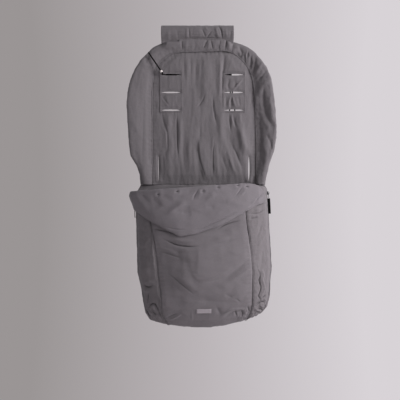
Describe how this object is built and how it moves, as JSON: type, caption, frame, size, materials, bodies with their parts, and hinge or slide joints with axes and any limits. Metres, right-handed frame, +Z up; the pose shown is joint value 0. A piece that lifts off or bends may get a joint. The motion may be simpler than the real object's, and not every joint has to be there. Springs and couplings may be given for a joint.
{
  "type": "stroller footmuff",
  "caption": "Quilted stroller footmuff with a fold-over head flap, harness slots, a zip-opening leg muff and a turned-down cuff.",
  "frame": {"origin": "middle of the loop that the head flap makes round its bar", "axes": "+X to the viewer's right, +Y away from the viewer towards the seat back, +Z up; the footmuff hangs below the origin"},
  "size_m": [0.448, 0.1214, 0.906],
  "materials": {
    "grey_twill": "grey woven twill",
    "grey_side_twill": "grey woven twill, side panels",
    "wadding": "polyester wadding",
    "grey_lining": "brushed lining",
    "rear_cloth": "plain woven backing",
    "cuff_back": "grey woven lining of the cuff",
    "cuff_fill": "polyester wadding in the cuff",
    "cuff_cloth": "paler grey brushed twill",
    "piping": "covered piping cord",
    "zip_tape": "woven zip tape, and the hook and loop tapes",
    "zip_coil": "nylon coil",
    "dark_metal": "dark coated die casting",
    "black_elastic": "black elastic and webbing",
    "pale_plastic": "pale plastic",
    "bare_label": "plain woven label, bare"
  },
  "bodies": {
    "back": {"wing_face": "grey_twill", "wing_wadding": "wadding", "wing_rear_cover": "rear_cloth", "centre_face": "grey_twill", "centre_wadding": "wadding", "centre_rear_cover": "rear_cloth", "leg_face": "grey_twill", "leg_wadding": "wadding", "leg_rear_cover": "rear_cloth", "arch_piping": "piping", "harness_patch_left": "grey_twill", "harness_patch_right": "grey_twill", "gusset_left": "grey_side_twill", "gusset_right": "grey_side_twill", "foot_panel": "grey_side_twill", "zip_tape_back_left": "zip_tape", "zip_tape_back_right": "zip_tape", "zip_coil_back_left": "zip_coil", "zip_coil_back_right": "zip_coil", "loop_tape": "zip_tape", "strap_anchor_left": "grey_twill", "strap_anchor_right": "grey_twill", "rear_strap": "black_elastic", "taut_cord": "black_elastic", "hanging_cord": "black_elastic"},
    "head_flap": {"head_flap": "grey_twill", "hook_tape": "zip_tape"},
    "apron": {"apron_face": "grey_twill", "side_face_left": "grey_side_twill", "side_face_right": "grey_side_twill", "apron_wadding": "wadding", "apron_lining": "grey_lining", "front_piping_left": "piping", "front_piping_right": "piping", "label": "bare_label", "zip_coil_front_left": "zip_coil", "zip_coil_front_right": "zip_coil", "zip_tape_front_left": "zip_tape", "zip_tape_front_right": "zip_tape"},
    "cuff": {"cuff_face": "cuff_cloth", "cuff_wadding": "cuff_fill", "cuff_lining": "cuff_back"},
    "slider_left": {"zip_slider_left": "dark_metal"},
    "slider_right": {"zip_slider_right": "dark_metal"},
    "pull_left": {"zip_pull_left": "dark_metal", "pull_tab_left": "black_elastic"},
    "pull_right": {"zip_pull_right": "dark_metal", "pull_tab_right": "black_elastic"},
    "bead": {"cord_bead": "pale_plastic"}
  },
  "joints": [
    {"name": "flap_fold", "type": "hinge", "parent": "back", "child": "head_flap", "pos_m": [0, -0.0073, -0.031], "axis": [1, 0, 0], "range_deg": [0, 90]},
    {"name": "apron_fold", "type": "hinge", "parent": "back", "child": "apron", "pos_m": [0.004, -0.0103, -0.8822], "axis": [1, 0, 0], "range_deg": [0, 150]},
    {"name": "cuff_fold", "type": "hinge", "parent": "apron", "child": "cuff", "pos_m": [0.004, -0.087, -0.463], "axis": [-0.9977, 0, -0.0672], "range_deg": [0, 150]},
    {"name": "zip_slide_left", "type": "slide", "parent": "back", "child": "slider_left", "axis": [0.0265, 0, -0.9996], "range_m": [0, 0.195]},
    {"name": "zip_slide_right", "type": "slide", "parent": "back", "child": "slider_right", "axis": [0.0585, 0, -0.9983], "range_m": [0, 0.195]},
    {"name": "zip_pull_left", "type": "hinge", "parent": "slider_left", "child": "pull_left", "pos_m": [-0.19977, -0.01726, -0.49196], "axis": [-0.2096, 0.9778, -0.0056], "range_deg": [0, 150]},
    {"name": "zip_pull_right", "type": "hinge", "parent": "slider_right", "child": "pull_right", "pos_m": [0.19954, -0.01725, -0.48021], "axis": [-0.2072, -0.9782, -0.0121], "range_deg": [0, 150]},
    {"name": "bead_slide", "type": "slide", "parent": "back", "child": "bead", "axis": [-0.5605, 0, 0.8282], "range_m": [0, 0.055]}
  ]
}
